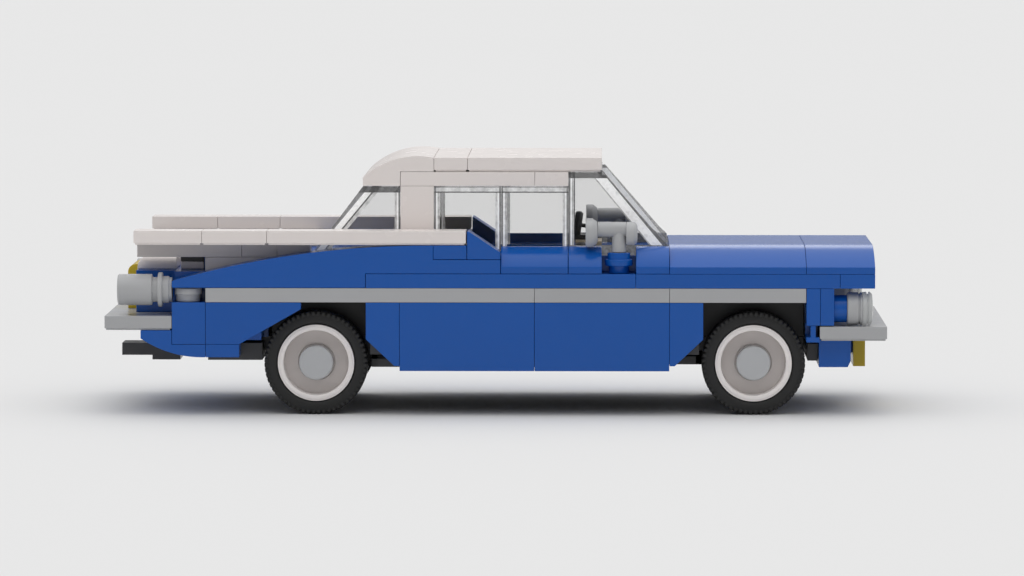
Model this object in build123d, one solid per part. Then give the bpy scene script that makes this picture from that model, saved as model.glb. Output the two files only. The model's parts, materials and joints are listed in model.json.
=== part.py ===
from build123d import *
import os

# Brick-built toy car, 1950s style, with fins.  Millimetres, +X to the nose, +Z up, ground at Z = 0.
# The origin is on the ground, under the middle of the car's length and width.
# Sizes below are laid out about the middle of the wheelbase; every piece is moved to the origin
# of the part when it is written.

# ---------------------------------------------------------------- driving dimensions
STUD = 8.0                # pitch of the studs
PLATE = 3.3               # height of a plate or tile
SEAM = 0.1                # play between two layers
GAP = 0.06                # each piece stops this far inside its own stud outline
LAYER = PLATE + SEAM      # pitch of the layers
GROOVE_H = 0.4            # groove round the foot of a tile
GROOVE_D = 0.35

BODY_HALF = 4 * STUD      # half width over the side panels
CABIN_HALF = 3 * STUD     # half width of roof, pillars and glass
SPINE_HALF = 2 * STUD     # half width of the spine, the trunk lid and the seats
SIDE_T = PLATE            # side panels are tiles that stand on edge

STRIPE_Z = 27.05          # foot of the stripe
DOOR_H = 16.2             # the doors are two studs tall
AXLE_X = 6.5 * STUD       # half the wheelbase
TYRE_R = 12.3
TYRE_W = 7.0
TYRE_OUT = 28.0           # outer face of the tyre from the middle of the car
RIM_R = 9.1
RIM_OPEN_R = 7.75         # mouth of the dish
RIM_W = 6.6
DISH_DEPTH = 3.2
HUB_CAP_R = 4.05
HUB_CAP_PROUD = 0.2       # the cap's face stands this far out of the rim
PIN_R = 1.55
PIN_PLAY = 0.05           # radial play of a wheel on its pin
END_PLAY = 0.3            # play along the pin
BOSS_R = 3.0              # half width of the square boss that carries a pin
ARCH_CLEAR = 0.6          # room between a tyre's tread and what stands at its ends
NOSE_CLEAR = 0.05         # from the front of the tyre to the nose
HOOD_PROUD = 0.3          # the front row of the hood stands this much proud of its studs
TAIL_REACH = 34.0         # from the rear axle to the tail wall

CURVE_LIP = 1.6           # upright foot of a curved slope
SHOULDER_H = 6.1          # height of the curved shoulders
GLASS_T = 1.5             # side walls of the glass pieces
PANE_T = 1.9              # slanted panes
BUMPER_L = 2 * STUD
BUMPER_FRONT_Z = 18.05
BUMPER_REAR_Z = 20.4
FLOOR_Z = 11.0            # underside of the floor

# ---------------------------------------------------------------- levels and stations worked out
BELT_Z = STRIPE_Z + LAYER
DECK_Z = BELT_Z + LAYER
SHELF_Z = DECK_Z + LAYER
FIN_Z = SHELF_Z + LAYER
ROOF_Z = FIN_Z + 4 * LAYER
TILE_ROOF_Z = ROOF_Z + LAYER
ROOF_TOP = TILE_ROOF_Z + PLATE
DOOR_TOP = STRIPE_Z - SEAM
DOOR_Z = DOOR_TOP - DOOR_H
GLASS_TOP = TILE_ROOF_Z - SEAM
GLASS_Z = GLASS_TOP - 6 * PLATE
SIDE_GLASS_TOP = ROOF_Z - SEAM
SHOULDER_TOP = DECK_Z + SHOULDER_H
SPINE_Z = FLOOR_Z + LAYER
CORE_Z = SPINE_Z + LAYER
ARCH_IN = AXLE_X - TYRE_R - ARCH_CLEAR
ARCH_OUT = AXLE_X + TYRE_R + ARCH_CLEAR
TAIL_X = -AXLE_X - TAIL_REACH
NOSE_X = AXLE_X + TYRE_R + NOSE_CLEAR
HOOD_END = NOSE_X + 2 * STUD + HOOD_PROUD
BUMPER_FRONT_X = NOSE_X + PLATE - SEAM
FRONT_TIP = BUMPER_FRONT_X + BUMPER_L
REAR_TIP = TAIL_X - BUMPER_L
CENTRE_X = (FRONT_TIP + REAR_TIP) / 2
SIDE_IN = BODY_HALF - SIDE_T - SEAM   # what stands behind the side panels stops here
LAMP_Y = BODY_HALF - STUD / 2         # lamps, mirrors and corner rounds stand on the outer studs

NODES = {}


# ---------------------------------------------------------------- helpers
def block(x0, x1, y0, y1, z0, z1, gap=GAP):
    """Box between two stations each way, drawn in by the gap along X and Y."""
    size = (x1 - x0 - 2 * gap, y1 - y0 - 2 * gap, z1 - z0)
    middle = ((x0 + x1) / 2, (y0 + y1) / 2, (z0 + z1) / 2)
    return Pos(*middle) * Box(*size)


def tile(x0, x1, y0, y1, z0):
    """Flat tile with the groove round its foot."""
    top = block(x0, x1, y0, y1, z0 + GROOVE_H, z0 + PLATE)
    foot = block(x0, x1, y0, y1, z0, z0 + GROOVE_H, GAP + GROOVE_D)
    return top + foot


def side_prism(outline, y0, y1, gap=GAP):
    """Sheet between two planes across the car, from a closed wire in X and Z."""
    face = Plane.XZ * make_face(outline)
    return Pos(0, y1 - gap, 0) * extrude(face, amount=y1 - y0 - 2 * gap)


def cross_prism(outline, x0, x1, gap=GAP):
    """Bar along the car between two stations, from a closed wire in Y and Z."""
    face = Plane.YZ * make_face(outline)
    return Pos(x0 + gap, 0, 0) * extrude(face, amount=x1 - x0 - 2 * gap)


def turned(profile):
    """Solid of revolution about the Y axis from (radius, station) points."""
    return revolve(make_face(Polyline(*profile, close=True)), axis=Axis.Y)


def rod_x(x0, x1, y, z, radius):
    """Round bar along the car."""
    return Pos((x0 + x1) / 2, y, z) * Rot(0, 90, 0) * Cylinder(radius, x1 - x0)


def rod_z(x, y, z0, z1, radius):
    """Round upright bar."""
    return Pos(x, y, (z0 + z1) / 2) * Cylinder(radius, z1 - z0)


def stack_x(start, steps, y, z, way=1):
    """Round bars end to end along the car, from (length, radius) steps."""
    bar = None
    for length, radius in steps:
        end = start + way * length
        step = rod_x(min(start, end), max(start, end), y, z, radius)
        bar = step if bar is None else bar + step
        start = end
    return bar


def both_sides(solids):
    """The right-hand pieces and their mirror images on the left."""
    return solids + [mirror(solid, about=Plane.XZ) for solid in solids]


def keep(name, solids):
    """Store a node's solids under its name."""
    NODES[name] = list(solids)


# ---------------------------------------------------------------- chassis
FLOOR_HALF = 4 * STUD     # half length of the floor at full width
END_PLATE_T = 1.65        # what shows of the plates under the two ends
END_CHEEK_H = 2.4         # height of the cheeks on them, beside the spine


def chassis():
    """Floor plate, spine with the four wheel pins, and the end plates."""
    floor = block(-ARCH_IN, FLOOR_HALF, -CABIN_HALF, CABIN_HALF, FLOOR_Z, FLOOR_Z + PLATE)
    floor += block(-FLOOR_HALF - STUD, FLOOR_HALF + STUD, -SPINE_HALF, SPINE_HALF, FLOOR_Z,
                   FLOOR_Z + PLATE)
    keep("floor_plate", [floor])

    spine = block(TAIL_X + STUD, NOSE_X, -SPINE_HALF, SPINE_HALF, SPINE_Z, SPINE_Z + PLATE)
    boss_end = TYRE_OUT - RIM_W - END_PLAY
    pin_end = TYRE_OUT - DISH_DEPTH - END_PLAY
    for x in (-AXLE_X, AXLE_X):
        spine += block(x - STUD, x + STUD, -SPINE_HALF, SPINE_HALF, TYRE_R - BOSS_R, SPINE_Z + PLATE)
        spine += block(x - BOSS_R, x + BOSS_R, -boss_end, boss_end, TYRE_R - BOSS_R, TYRE_R + BOSS_R, 0)
        spine += Pos(x, 0, TYRE_R) * Rot(90, 0, 0) * Cylinder(PIN_R, 2 * pin_end)
    keep("chassis_spine", [spine])

    top = SPINE_Z - SEAM
    ends = []
    for x0, x1 in ((TAIL_X + STUD, -ARCH_OUT), (ARCH_OUT, BUMPER_FRONT_X - SEAM)):
        end = block(x0, x1, -CABIN_HALF, CABIN_HALF, top - END_PLATE_T, top)
        for y in (-CABIN_HALF, SPINE_HALF):
            end += block(x0, x1, y, y + STUD, top, top + END_CHEEK_H)
        ends.append(end)
    keep("end_plates", ends)


# ---------------------------------------------------------------- wheels
def wheels():
    """Tyre, dished rim and round cap at each corner, with a blind bore for the pin."""
    tyre_in = RIM_R + SEAM
    tyre_profile = [(tyre_in, 0), (TYRE_R, 0), (TYRE_R, TYRE_W), (tyre_in, TYRE_W)]
    bore_r = PIN_R + PIN_PLAY
    rim_profile = [(0, DISH_DEPTH), (RIM_OPEN_R, DISH_DEPTH), (RIM_OPEN_R, 0), (RIM_R, 0),
                   (RIM_R, RIM_W), (bore_r, RIM_W), (bore_r, DISH_DEPTH + PIN_PLAY),
                   (0, DISH_DEPTH + PIN_PLAY)]
    cap_profile = [(0, -HUB_CAP_PROUD), (HUB_CAP_R, -HUB_CAP_PROUD), (HUB_CAP_R, DISH_DEPTH - SEAM),
                   (0, DISH_DEPTH - SEAM)]
    parts = {"tyre": tyre_profile, "rim": rim_profile, "hub_cap": cap_profile}
    for corner, x, side in (("front_right", AXLE_X, -1), ("front_left", AXLE_X, 1),
                            ("rear_right", -AXLE_X, -1), ("rear_left", -AXLE_X, 1)):
        for part, profile in parts.items():
            solid = Pos(x, -TYRE_OUT, TYRE_R) * turned(profile)
            keep(f"{part}_{corner}", [solid if side < 0 else mirror(solid, about=Plane.XZ)])


# ---------------------------------------------------------------- sides
ARCH_CORNER = 3.4         # from the rear axle back to the top corner of its arch
ARCH_CORNER_H = 1.6
PANEL_H = 9.9             # the tail's side panels
STRIP_H = 15.0            # the short panels before and behind the doors
STRIP_CUT_H = 6.3         # height of their slanted cut
STRIP_FOOT_W = 1.2


def sides():
    """Doors, the panels round the arches, the stripe and the belt, and the walls behind them."""
    out = (-BODY_HALF, -BODY_HALF + SIDE_T)
    doors = [block(i * FLOOR_HALF, (i + 1) * FLOOR_HALF, *out, DOOR_Z, DOOR_TOP) for i in (-1, 0)]
    keep("doors", both_sides(doors))
    walls = [block(-ARCH_IN, ARCH_IN, -SIDE_IN - GAP, -CABIN_HALF, SPINE_Z, DOOR_TOP)]
    keep("side_walls", both_sides(walls))

    stripe_ends = (TAIL_X + STUD, 0, FLOOR_HALF, NOSE_X)
    keep("stripe_plates", both_sides([block(a, b, -BODY_HALF, -CABIN_HALF, STRIPE_Z, STRIPE_Z + PLATE)
                                      for a, b in zip(stripe_ends, stripe_ends[1:])]))
    belt_ends = (-5 * STUD, 3 * STUD, NOSE_X + STUD, HOOD_END)
    keep("belt_plates", both_sides([block(a, b, -BODY_HALF, -SPINE_HALF, BELT_Z, BELT_Z + PLATE)
                                    for a, b in zip(belt_ends, belt_ends[1:])]))

    strips = []
    foot = DOOR_TOP - STRIP_H
    for sign in (-1, 1):
        near = sign * (FLOOR_HALF + GAP)
        far = sign * (FLOOR_HALF + STUD - GAP)
        outline = Polyline((near, foot), (near, DOOR_TOP), (far, DOOR_TOP), (far, foot + STRIP_CUT_H),
                           (near + sign * STRIP_FOOT_W, foot), close=True)
        strips.append(side_prism(outline, *out))
    keep("arch_strips", both_sides(strips))

    foot = DOOR_TOP - PANEL_H
    split = TAIL_X + STUD
    corner_x = -AXLE_X - ARCH_CORNER
    panel = block(TAIL_X, split, *out, foot, DOOR_TOP)
    outline = Polyline((split + GAP, foot), (split + GAP, DOOR_TOP), (corner_x, DOOR_TOP),
                       (corner_x, DOOR_TOP - ARCH_CORNER_H), (split + STUD, foot), close=True)
    keep("quarter_panels", both_sides([panel, side_prism(outline, *out)]))


# ---------------------------------------------------------------- tail
VALANCE_L = 7.4           # overhang behind the tail wall
VALANCE_DROP = 3.1        # depth below the side panels
VALANCE_LIP = 1.9
VALANCE_SWELL = (2.0, 1.65)   # middle of the curve, from its lower front corner
TRUNK_OVERHANG = 9.4      # the trunk's end piece behind the tail wall
TRUNK_TRAY = 6.6          # from the tail wall to the lid
LATCH_BACK = 1.0          # from the tail wall to the latch
LATCH_H = (1.75, 1.2)     # its foot and its bar
TRUNK_ROUND = 2.9
TRUNK_FRONT = -53.5
SIGN_H = 10.6
SIGN_ROUND = 1.9
# from the tail wall outwards: (length, radius)
TAIL_LAMP_STEPS = ((2.2, 3.2), (1.1, 4.1), (9.6, 3.7))
TAIL_LAMP_Z = 29.75
COLLAR_STEPS = ((1.7, 2.85), (1.5, 3.26))
COLLAR_BACK = 3.7         # from the tail wall to the middle of the corner rounds
TOW_BARS = ((14.2, -1.85, 1.05), (6.9, -2.95, -1.85))   # reach, foot and top from the valance's foot


def tail():
    """Core of the tail, its valance, bumper, lamps, plate, trunk and tow bar."""
    inner = TYRE_OUT - TYRE_W - 2 * ARCH_CLEAR
    bumper_top = BUMPER_REAR_Z + PLATE
    core = block(TAIL_X, -ARCH_OUT + 2 * ARCH_CLEAR, -inner, inner, CORE_Z, DOOR_TOP)
    core += block(TAIL_X, -ARCH_OUT, -SIDE_IN, SIDE_IN, CORE_Z, DOOR_TOP)
    core += block(TAIL_X, -5 * STUD, -CABIN_HALF, CABIN_HALF, DOOR_TOP, DECK_Z - SEAM)
    core += block(TAIL_X - TRUNK_OVERHANG, TAIL_X + STUD, -CABIN_HALF + STUD / 2, CABIN_HALF - STUD / 2,
                  bumper_top + SEAM, DECK_Z - SEAM)
    keep("rear_core", [core])

    panel_foot = DOOR_TOP - PANEL_H - SEAM
    foot = panel_foot + SEAM - VALANCE_DROP
    under = BUMPER_REAR_Z - SEAM
    back, wall, front = TAIL_X - VALANCE_L, TAIL_X - GAP, TAIL_X + STUD - GAP
    low, lip = (front, foot), (back, under - VALANCE_LIP)
    swell = (TAIL_X - VALANCE_SWELL[0], foot + VALANCE_SWELL[1])
    outline = (Polyline((back, under), (wall, under), (wall, panel_foot), (front, panel_foot), low)
               + ThreePointArc(low, swell, lip) + Line(lip, (back, under)))
    valance = [side_prism(outline, 2 * i * STUD, 2 * (i + 1) * STUD) for i in range(-2, 2)]
    sill = block(TAIL_X + STUD, TAIL_X + 2 * STUD, -BODY_HALF, -CABIN_HALF, foot, panel_foot)
    keep("rear_valance", valance + both_sides([sill]))

    keep("rear_bumper", [tile(REAR_TIP, TAIL_X, 2 * i * STUD, 2 * (i + 1) * STUD, BUMPER_REAR_Z)
                         for i in range(-2, 2)])
    keep("tail_lamps", both_sides([stack_x(TAIL_X - SEAM, TAIL_LAMP_STEPS, -LAMP_Y, TAIL_LAMP_Z, -1)]))

    collar = None
    z = STRIPE_Z
    for height, radius in COLLAR_STEPS:
        step = rod_z(TAIL_X + COLLAR_BACK, -LAMP_Y, z, z + height, radius)
        collar = step if collar is None else collar + step
        z += height
    keep("corner_rounds", both_sides([collar]))

    end = block(TAIL_X - TRUNK_OVERHANG, TAIL_X, -SPINE_HALF, SPINE_HALF, DECK_Z, DECK_Z + PLATE)
    top_edges = end.faces().sort_by(Axis.Z)[-1].edges()
    end = fillet(top_edges.sort_by(Axis.X)[0:1] + top_edges.filter_by(Axis.X), TRUNK_ROUND)
    latch = (TAIL_X + LATCH_BACK, TAIL_X + TRUNK_TRAY, -SPINE_HALF, SPINE_HALF)
    latch_z = DECK_Z + LATCH_H[0]
    foot_block = block(*latch, DECK_Z, latch_z)
    lid = block(TAIL_X + TRUNK_TRAY, TRUNK_FRONT, -SPINE_HALF, SPINE_HALF, DECK_Z, DECK_Z + PLATE)
    keep("trunk_lid", [end, foot_block, lid])
    keep("trunk_latch", [block(*latch, latch_z + SEAM, latch_z + LATCH_H[1])])

    bars = [block(TAIL_X - reach, TAIL_X, -STUD / 2, STUD / 2, foot + z0, foot + z1)
            for reach, z0, z1 in TOW_BARS]
    keep("tow_bar", [bars[0] + bars[1]])


# ---------------------------------------------------------------- rear fenders and fins
WEDGE_TIP_H = 1.6
WEDGE_FRONT = -3 * STUD
WEDGE_END = -STUD
WEDGE_BULGE = (-62.0, 3.1)    # middle of the curved top: station, and drop below its crest
SLOPE_FLAT = 0.4
FIN_ENDS = (-16.2, -63.4, -78.8, -95.0)
RAIL_ENDS = (-94.8, -69.8, -61.4, TRUNK_FRONT)
RAIL_START = 0.8          # from the lid's rear edge to the lower rail


def fenders_and_fins():
    """Curved fender wedges with their caps, the white fins and the rails that carry them."""
    y = (-BODY_HALF, -CABIN_HALF)
    back, belt_end, front = TAIL_X + GAP, -5 * STUD - GAP, WEDGE_END - GAP
    tip = (back, BELT_Z + WEDGE_TIP_H)
    crest = (WEDGE_FRONT, FIN_Z - SEAM)
    shelf = SHELF_Z - SEAM
    bulge = (WEDGE_BULGE[0], crest[1] - WEDGE_BULGE[1])
    outline = (Line((back, BELT_Z), tip) + ThreePointArc(tip, bulge, crest)
               + Polyline(crest, (WEDGE_FRONT, shelf), (front, shelf), (front, DECK_Z),
                          (belt_end, DECK_Z), (belt_end, BELT_Z), (back, BELT_Z)))
    keep("fender_wedges", both_sides([side_prism(outline, *y)]))

    cap_x = WEDGE_END - STUD + GAP
    top = SHELF_Z + 2 * PLATE
    slope = side_prism(Polyline((cap_x, SHELF_Z), (cap_x, top), (cap_x + SLOPE_FLAT, top),
                                (front, SHELF_Z + CURVE_LIP), (front, SHELF_Z), close=True), *y)
    plate = block(WEDGE_FRONT, WEDGE_END - STUD, *y, SHELF_Z, SHELF_Z + PLATE)
    keep("fender_caps", both_sides([plate, slope]))

    keep("fins", both_sides([tile(b, a, *y, FIN_Z) for a, b in zip(FIN_ENDS, FIN_ENDS[1:])]))
    rail_y = (-CABIN_HALF, -SPINE_HALF)
    rails = [block(a, b, *rail_y, SHELF_Z, SHELF_Z + PLATE) for a, b in zip(RAIL_ENDS, RAIL_ENDS[1:])]
    rails.append(block(TAIL_X + TRUNK_TRAY + RAIL_START, TRUNK_FRONT, *rail_y, DECK_Z, DECK_Z + PLATE))
    keep("fin_rails", both_sides(rails))


# ---------------------------------------------------------------- front
NOSE_PLATE_H = 8.7
CLIP_T = 1.2
LAMP_DROP = 0.6           # the headlamps' middle below the middle of the nose plates
HEADLAMP_STEPS = (("headlamp_backs", 3.1, 3.25), ("headlamp_rings", 3.7, 3.9))   # length, radius
LENS_L = 2.45
LENS_R = 4.0
GRILLE_SLOT = 1.5
GRILLE_BAR = 1.2
VALANCE_FRONT_L = 7.5
VALANCE_FRONT_H = 6.5
VALANCE_CUT = (0.7, 1.4)
SIGN_GAP = 1.45           # bracket between the front valance and its plate
SIGN_T = 2.95


def nose():
    """Arch cores, nose plates, lamps, grille, bumper, valance and number plates."""
    front = block(FLOOR_HALF, NOSE_X, -SPINE_HALF, SPINE_HALF, CORE_Z, STRIPE_Z)
    front += block(FLOOR_HALF, NOSE_X, -CABIN_HALF, CABIN_HALF, STRIPE_Z, STRIPE_Z + PLATE)
    rear = block(-ARCH_OUT + 3 * ARCH_CLEAR, -FLOOR_HALF, -SPINE_HALF, SPINE_HALF, CORE_Z, DOOR_TOP)
    keep("arch_cores", [front, rear])
    keep("front_deck", [block(FLOOR_HALF, HOOD_END, -SPINE_HALF, SPINE_HALF, BELT_Z, BELT_Z + PLATE)])

    plate_top = BELT_Z - SEAM
    plate_foot = plate_top - NOSE_PLATE_H
    plates = [block(NOSE_X + i * PLATE + GAP, NOSE_X + (i + 1) * PLATE, -BODY_HALF, BODY_HALF,
                    plate_foot, plate_top, GAP / 2) for i in (0, 1)]
    keep("nose_plates", plates)
    clip_foot = BUMPER_FRONT_Z - 0.4
    clip_x = NOSE_X + PLATE / 2
    clip_y = (-BODY_HALF + GAP, -CABIN_HALF)
    clip = block(clip_x - CLIP_T / 2, clip_x + CLIP_T / 2, *clip_y, clip_foot, plate_foot - SEAM, 0)
    clip += block(NOSE_X + GAP, BUMPER_FRONT_X - GAP, *clip_y, clip_foot, clip_foot + CLIP_T, 0)
    core = block(NOSE_X, BUMPER_FRONT_X, -CABIN_HALF, CABIN_HALF, CORE_Z - SEAM, plate_foot - SEAM)
    keep("nose_clips", both_sides([clip]) + [core])

    lamp_z = (plate_foot + plate_top) / 2 - LAMP_DROP
    x = NOSE_X + 2 * PLATE
    for name, length, radius in HEADLAMP_STEPS:
        keep(name, both_sides([rod_x(x + GAP / 2, x + length - GAP / 2, -LAMP_Y, lamp_z, radius)]))
        x += length
    lens_x = x + GAP / 2
    keep("headlamp_lenses", both_sides([rod_x(lens_x, lens_x + LENS_L, -LAMP_Y, lamp_z, LENS_R)]))

    grille_x = NOSE_X + 2 * PLATE
    grille = block(grille_x, grille_x + PLATE, -SPINE_HALF, SPINE_HALF, plate_foot, plate_top)
    pitch = GRILLE_SLOT + GRILLE_BAR
    count = int((2 * SPINE_HALF - 2 * GRILLE_BAR) // pitch)
    for i in range(count):
        y = (i - (count - 1) / 2) * pitch
        grille -= block(grille_x + PLATE / 2, grille_x + 2 * PLATE, y - GRILLE_SLOT / 2,
                        y + GRILLE_SLOT / 2, plate_foot + GRILLE_BAR, plate_top - GRILLE_BAR, 0)
    keep("grille", [grille])

    keep("front_bumper", [tile(BUMPER_FRONT_X, FRONT_TIP, 2 * i * STUD, 2 * (i + 1) * STUD,
                               BUMPER_FRONT_Z) for i in range(-2, 2)])
    top = BUMPER_FRONT_Z - SEAM
    back, face = BUMPER_FRONT_X, BUMPER_FRONT_X + VALANCE_FRONT_L
    foot = top - VALANCE_FRONT_H
    outline = Polyline((back, top), (face, top), (face, foot + VALANCE_CUT[1]),
                       (face - VALANCE_CUT[0], foot), (back, foot), close=True)
    bracket = block(face - GAP, face + SIGN_GAP, -STUD / 2, STUD / 2, foot + VALANCE_CUT[1], top, 0)
    keep("front_valance", [side_prism(outline, -BODY_HALF + STUD / 2, BODY_HALF - STUD / 2) + bracket])

    sign_x = face + SIGN_GAP
    front_sign = block(sign_x, sign_x + SIGN_T, -STUD, STUD, top - STUD, top)
    sign_foot = BUMPER_REAR_Z + PLATE + SEAM
    sign_end = TAIL_X - TRUNK_OVERHANG
    rear_sign = block(sign_end - SIGN_T, sign_end, -STUD, STUD, sign_foot, sign_foot + SIGN_H)
    edge = rear_sign.edges().filter_by(Axis.Y).group_by(Axis.Z)[-1].sort_by(Axis.X)[0]
    keep("number_plates", [front_sign, fillet(edge, SIGN_ROUND)])


# ---------------------------------------------------------------- hood and shoulders
def shoulder(x0, x1, inner):
    """Curved slope that falls from the deck at an inner half width to the side."""
    y0, y1 = -BODY_HALF + GAP, -inner - GAP
    lip, top = (y0, DECK_Z + CURVE_LIP), (y1, SHOULDER_TOP)
    outline = (Line((y0, DECK_Z), lip) + TangentArc(top, lip, tangent=(-1, 0))
               + Polyline(top, (y1, DECK_Z), (y0, DECK_Z)))
    return cross_prism(outline, x0, x1)


def hood():
    """Curved shoulders beside hood and cabin, and the tiles of the hood."""
    hood_rows = ((FLOOR_HALF, NOSE_X), (NOSE_X, HOOD_END))
    keep("hood_shoulders", both_sides([shoulder(a, b, SPINE_HALF) for a, b in hood_rows]))
    cabin_rows = ((-STUD, STUD), (STUD, 2 * STUD), (3 * STUD, FLOOR_HALF))
    keep("cabin_shoulders", both_sides([shoulder(a, b, CABIN_HALF) for a, b in cabin_rows]))
    keep("hood_tiles", [block(a, b, y, y + SPINE_HALF, DECK_Z, SHOULDER_TOP)
                        for a, b in hood_rows for y in (-SPINE_HALF, 0)])


# ---------------------------------------------------------------- cabin
SCREEN_KNEE = (1.8, 3.6)      # back from the screen's foot, above the hood
SCREEN_TIP = (16.8, 58.8)     # top of the slanted pane: station and height
REAR_SCREEN_FOOT = -53.3
REAR_SCREEN_TOP = -40.9
SCREEN_LEAN = 1.3         # pane widths from the knee back to the pane's inner face
REAR_SCREEN_LEAN = 0.6    # the same at the top of the rear pane
CUT = 1.0                 # a hollow's cut reaches this far past the open face
ROOF_LIP = 2.0
ROOF_OVERHANG = 0.9           # of the roof's curved end, past its studs
ROOF_BULGE = (-36.9, 1.85)    # middle of the curved roof end: station, and drop below the top


def cabin():
    """Sills, pillars, roof and all the glass."""
    sill_z = (DECK_Z, GLASS_Z - SEAM)
    sills = both_sides([block(-5 * STUD, FLOOR_HALF, -CABIN_HALF, -SPINE_HALF, *sill_z)])
    sills.append(block(3 * STUD, FLOOR_HALF, -SPINE_HALF, SPINE_HALF, *sill_z))
    sills.append(block(TRUNK_FRONT, -4 * STUD, -SPINE_HALF, SPINE_HALF, *sill_z))
    keep("cabin_sills", sills)

    roof_back, roof_mid, tile_back = -5 * STUD, -4 * STUD, -3 * STUD
    keep("pillars", both_sides([block(roof_mid, tile_back, -CABIN_HALF, -SPINE_HALF, GLASS_Z,
                                      SIDE_GLASS_TOP)]))
    plate_ends = (roof_mid, 0, STUD)
    keep("roof_plates", [block(a, b, -CABIN_HALF, CABIN_HALF, ROOF_Z, ROOF_Z + PLATE)
                         for a, b in zip(plate_ends, plate_ends[1:])])
    tiles = [tile(tile_back, -2 * STUD, -CABIN_HALF, CABIN_HALF, TILE_ROOF_Z)]
    tiles += [tile(-2 * STUD, 2 * STUD, i * STUD, (i + 2) * STUD, TILE_ROOF_Z) for i in (-3, -1, 1)]
    keep("roof_tiles", tiles)

    lip = (roof_back - ROOF_OVERHANG, ROOF_Z + ROOF_LIP)
    crest = (tile_back - GAP, ROOF_TOP)
    outline = (Line((lip[0], ROOF_Z), lip)
               + ThreePointArc(lip, (ROOF_BULGE[0], ROOF_TOP - ROOF_BULGE[1]), crest)
               + Polyline(crest, (crest[0], TILE_ROOF_Z), (roof_mid - GAP, TILE_ROOF_Z),
                          (roof_mid - GAP, ROOF_Z), (lip[0], ROOF_Z)))
    keep("roof_slopes", [side_prism(outline, i * STUD, (i + 2) * STUD) for i in (-3, -1, 1)])

    back, foot = STUD + GAP, FLOOR_HALF - GAP
    knee = (foot - SCREEN_KNEE[0], SHOULDER_TOP + SCREEN_KNEE[1])
    notch = 2 * STUD + GAP
    screen_out = Polyline((back, GLASS_Z), (back, GLASS_TOP), (notch, GLASS_TOP), (notch, SCREEN_TIP[1]),
                          SCREEN_TIP, knee, (foot, SHOULDER_TOP), (foot, GLASS_Z), close=True)
    inner_foot = foot - PANE_T
    start, low = back - CUT, GLASS_Z - CUT
    screen_in = Polyline((start, low), (start, GLASS_TOP - PANE_T), (notch, GLASS_TOP - PANE_T),
                         (knee[0] - SCREEN_LEAN * PANE_T, knee[1]), (inner_foot, SHOULDER_TOP),
                         (inner_foot, low), close=True)
    inner = CABIN_HALF - GLASS_T
    keep("windscreen", [side_prism(screen_out, -CABIN_HALF, CABIN_HALF)
                        - side_prism(screen_in, -inner, inner)])

    front, top = roof_mid - GAP, SIDE_GLASS_TOP
    rear_out = Polyline((front, GLASS_Z), (front, top), (REAR_SCREEN_TOP, top),
                        (REAR_SCREEN_FOOT, GLASS_Z), close=True)
    rear_in = Polyline((front + CUT, low), (front + CUT, top - GLASS_T),
                       (REAR_SCREEN_TOP + REAR_SCREEN_LEAN * PANE_T, top - GLASS_T),
                       (REAR_SCREEN_FOOT + PANE_T, low), close=True)
    keep("rear_windscreen", [side_prism(rear_out, -CABIN_HALF, CABIN_HALF)
                             - side_prism(rear_in, -inner, inner)])

    windows = []
    for x in (tile_back, -STUD):
        shell = block(x, x + 2 * STUD, -CABIN_HALF, -SPINE_HALF, GLASS_Z, SIDE_GLASS_TOP)
        shell -= block(x + GLASS_T, x + 2 * STUD - GLASS_T, -inner, -SPINE_HALF + CUT, GLASS_Z + GLASS_T,
                       SIDE_GLASS_TOP - GLASS_T)
        windows.append(shell)
    keep("side_windows", both_sides(windows))


# ---------------------------------------------------------------- inside the cabin and mirrors
WHEEL_Y = 1.25 * STUD
WHEEL_RING_R = 3.4
WHEEL_RING_T = 1.9
WHEEL_BACK = 0.6          # the ring's middle in front of the stand's rear face
WHEEL_BASE_H = 1.3
SPOKE_W = 1.0
SPOKE_T = 0.9
WHEEL_TILT = 8
WHEEL_BASE = (0.6, 4.4)   # ends of the wheel's foot, from the windscreen's edge
WHEEL_BASE_HALF = 2.0
STAND_TOP = 39.4
SEAT_PLAY = 1.0           # between a seat and the cabin's side
SEAT_H = 4 * PLATE
SEAT_T = PLATE
SEAT_CUSHION_H = 1.5 * PLATE
MIRROR_AXIS_H = 10.35     # the mirror arm's middle above the deck
# from the front knob to the disc: (length, radius, drop of its middle below the arm's)
MIRROR_STEPS = ((2.7, 2.75, 1.0), (6.7, 1.4, 0.0), (2.9, 3.45, 0.8))
MIRROR_FRONT = 4.4        # the knob's front face before the stem
MIRROR_STEM_R = 1.45
MIRROR_BASE = ((3.25, 3.3), (1.6, 2.7))


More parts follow.
